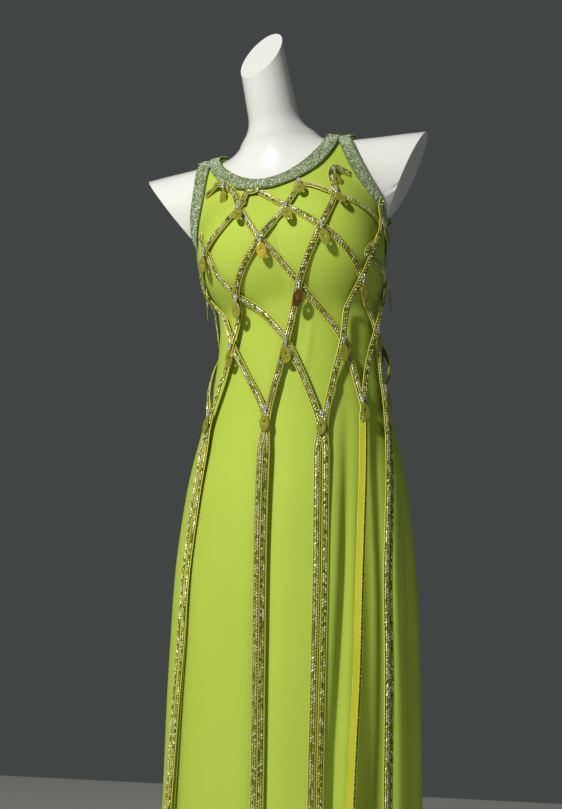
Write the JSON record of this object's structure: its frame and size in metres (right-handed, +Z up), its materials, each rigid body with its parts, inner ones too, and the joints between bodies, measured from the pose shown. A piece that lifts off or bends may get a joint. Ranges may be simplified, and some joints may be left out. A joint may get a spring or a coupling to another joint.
{
  "type": "prom dress on a display form",
  "caption": "Floor-length sleeveless fitted gown with an open lattice of beaded strips and teardrops, worn by a limbless display form on a pole and round base.",
  "frame": {"origin": "centre of the whole object's box, on the floor under the base", "axes": "+Z up; the form faces -Y, and its left arm side is +X"},
  "size_m": [0.4552, 0.382, 1.6203],
  "materials": {
    "lime_crepe": "matt lime-green crepe",
    "glitter_band": "sage band covered with silver and green seed beads",
    "beaded_strip": "yellow-green strip with two rows of silver-lined bugle beads",
    "drop_acrylic": "glossy yellow-green acrylic teardrop",
    "zip_green": "green enamelled zip slider and pull",
    "gloss_white": "glossy white glass-fibre form",
    "brushed_steel": "brushed steel stand"
  },
  "bodies": {
    "gown": {"armhole_band_left": "glitter_band", "armhole_band_right": "glitter_band", "drop_B1": "drop_acrylic", "drop_B2": "drop_acrylic", "drop_B3": "drop_acrylic", "drop_C1": "drop_acrylic", "drop_C2": "drop_acrylic", "drop_C3": "drop_acrylic", "drop_C4": "drop_acrylic", "drop_D1": "drop_acrylic", "drop_D2": "drop_acrylic", "drop_D3": "drop_acrylic", "drop_D4": "drop_acrylic", "drop_D5": "drop_acrylic", "drop_E0": "drop_acrylic", "drop_E1": "drop_acrylic", "drop_E2": "drop_acrylic", "drop_E3": "drop_acrylic", "drop_E4": "drop_acrylic", "drop_E5": "drop_acrylic", "drop_E6": "drop_acrylic", "drop_E7": "drop_acrylic", "drop_F0": "drop_acrylic", "drop_F1": "drop_acrylic", "drop_F2": "drop_acrylic", "drop_F3": "drop_acrylic", "drop_F4": "drop_acrylic", "drop_F5": "drop_acrylic", "drop_F6": "drop_acrylic", "drop_F7": "drop_acrylic", "form_base": "brushed_steel", "form_body": "gloss_white", "form_pole": "brushed_steel", "gown_back_left": "lime_crepe", "gown_back_right": "lime_crepe", "gown_front": "lime_crepe", "neck_band": "glitter_band", "short_strip_left": "beaded_strip", "short_strip_right": "beaded_strip", "strip_L0": "beaded_strip", "strip_L1": "beaded_strip", "strip_L2": "beaded_strip", "strip_L3": "beaded_strip", "strip_L4": "beaded_strip", "strip_L5": "beaded_strip", "strip_L6": "beaded_strip", "strip_L7": "beaded_strip", "strip_R0": "beaded_strip", "strip_R1": "beaded_strip", "strip_R2": "beaded_strip", "strip_R3": "beaded_strip", "strip_R4": "beaded_strip", "strip_R5": "beaded_strip", "strip_R6": "beaded_strip", "strip_R7": "beaded_strip", "zip_slider": "zip_green"},
    "zip_pull": {"zip_pull": "zip_green"}
  },
  "joints": [
    {"name": "pull_swing", "type": "hinge", "parent": "gown", "child": "zip_pull", "pos_m": [-0.00356, 0.0812, 1.41386], "axis": [0.989, 0, 0.1478], "range_deg": [0, 150]}
  ]
}
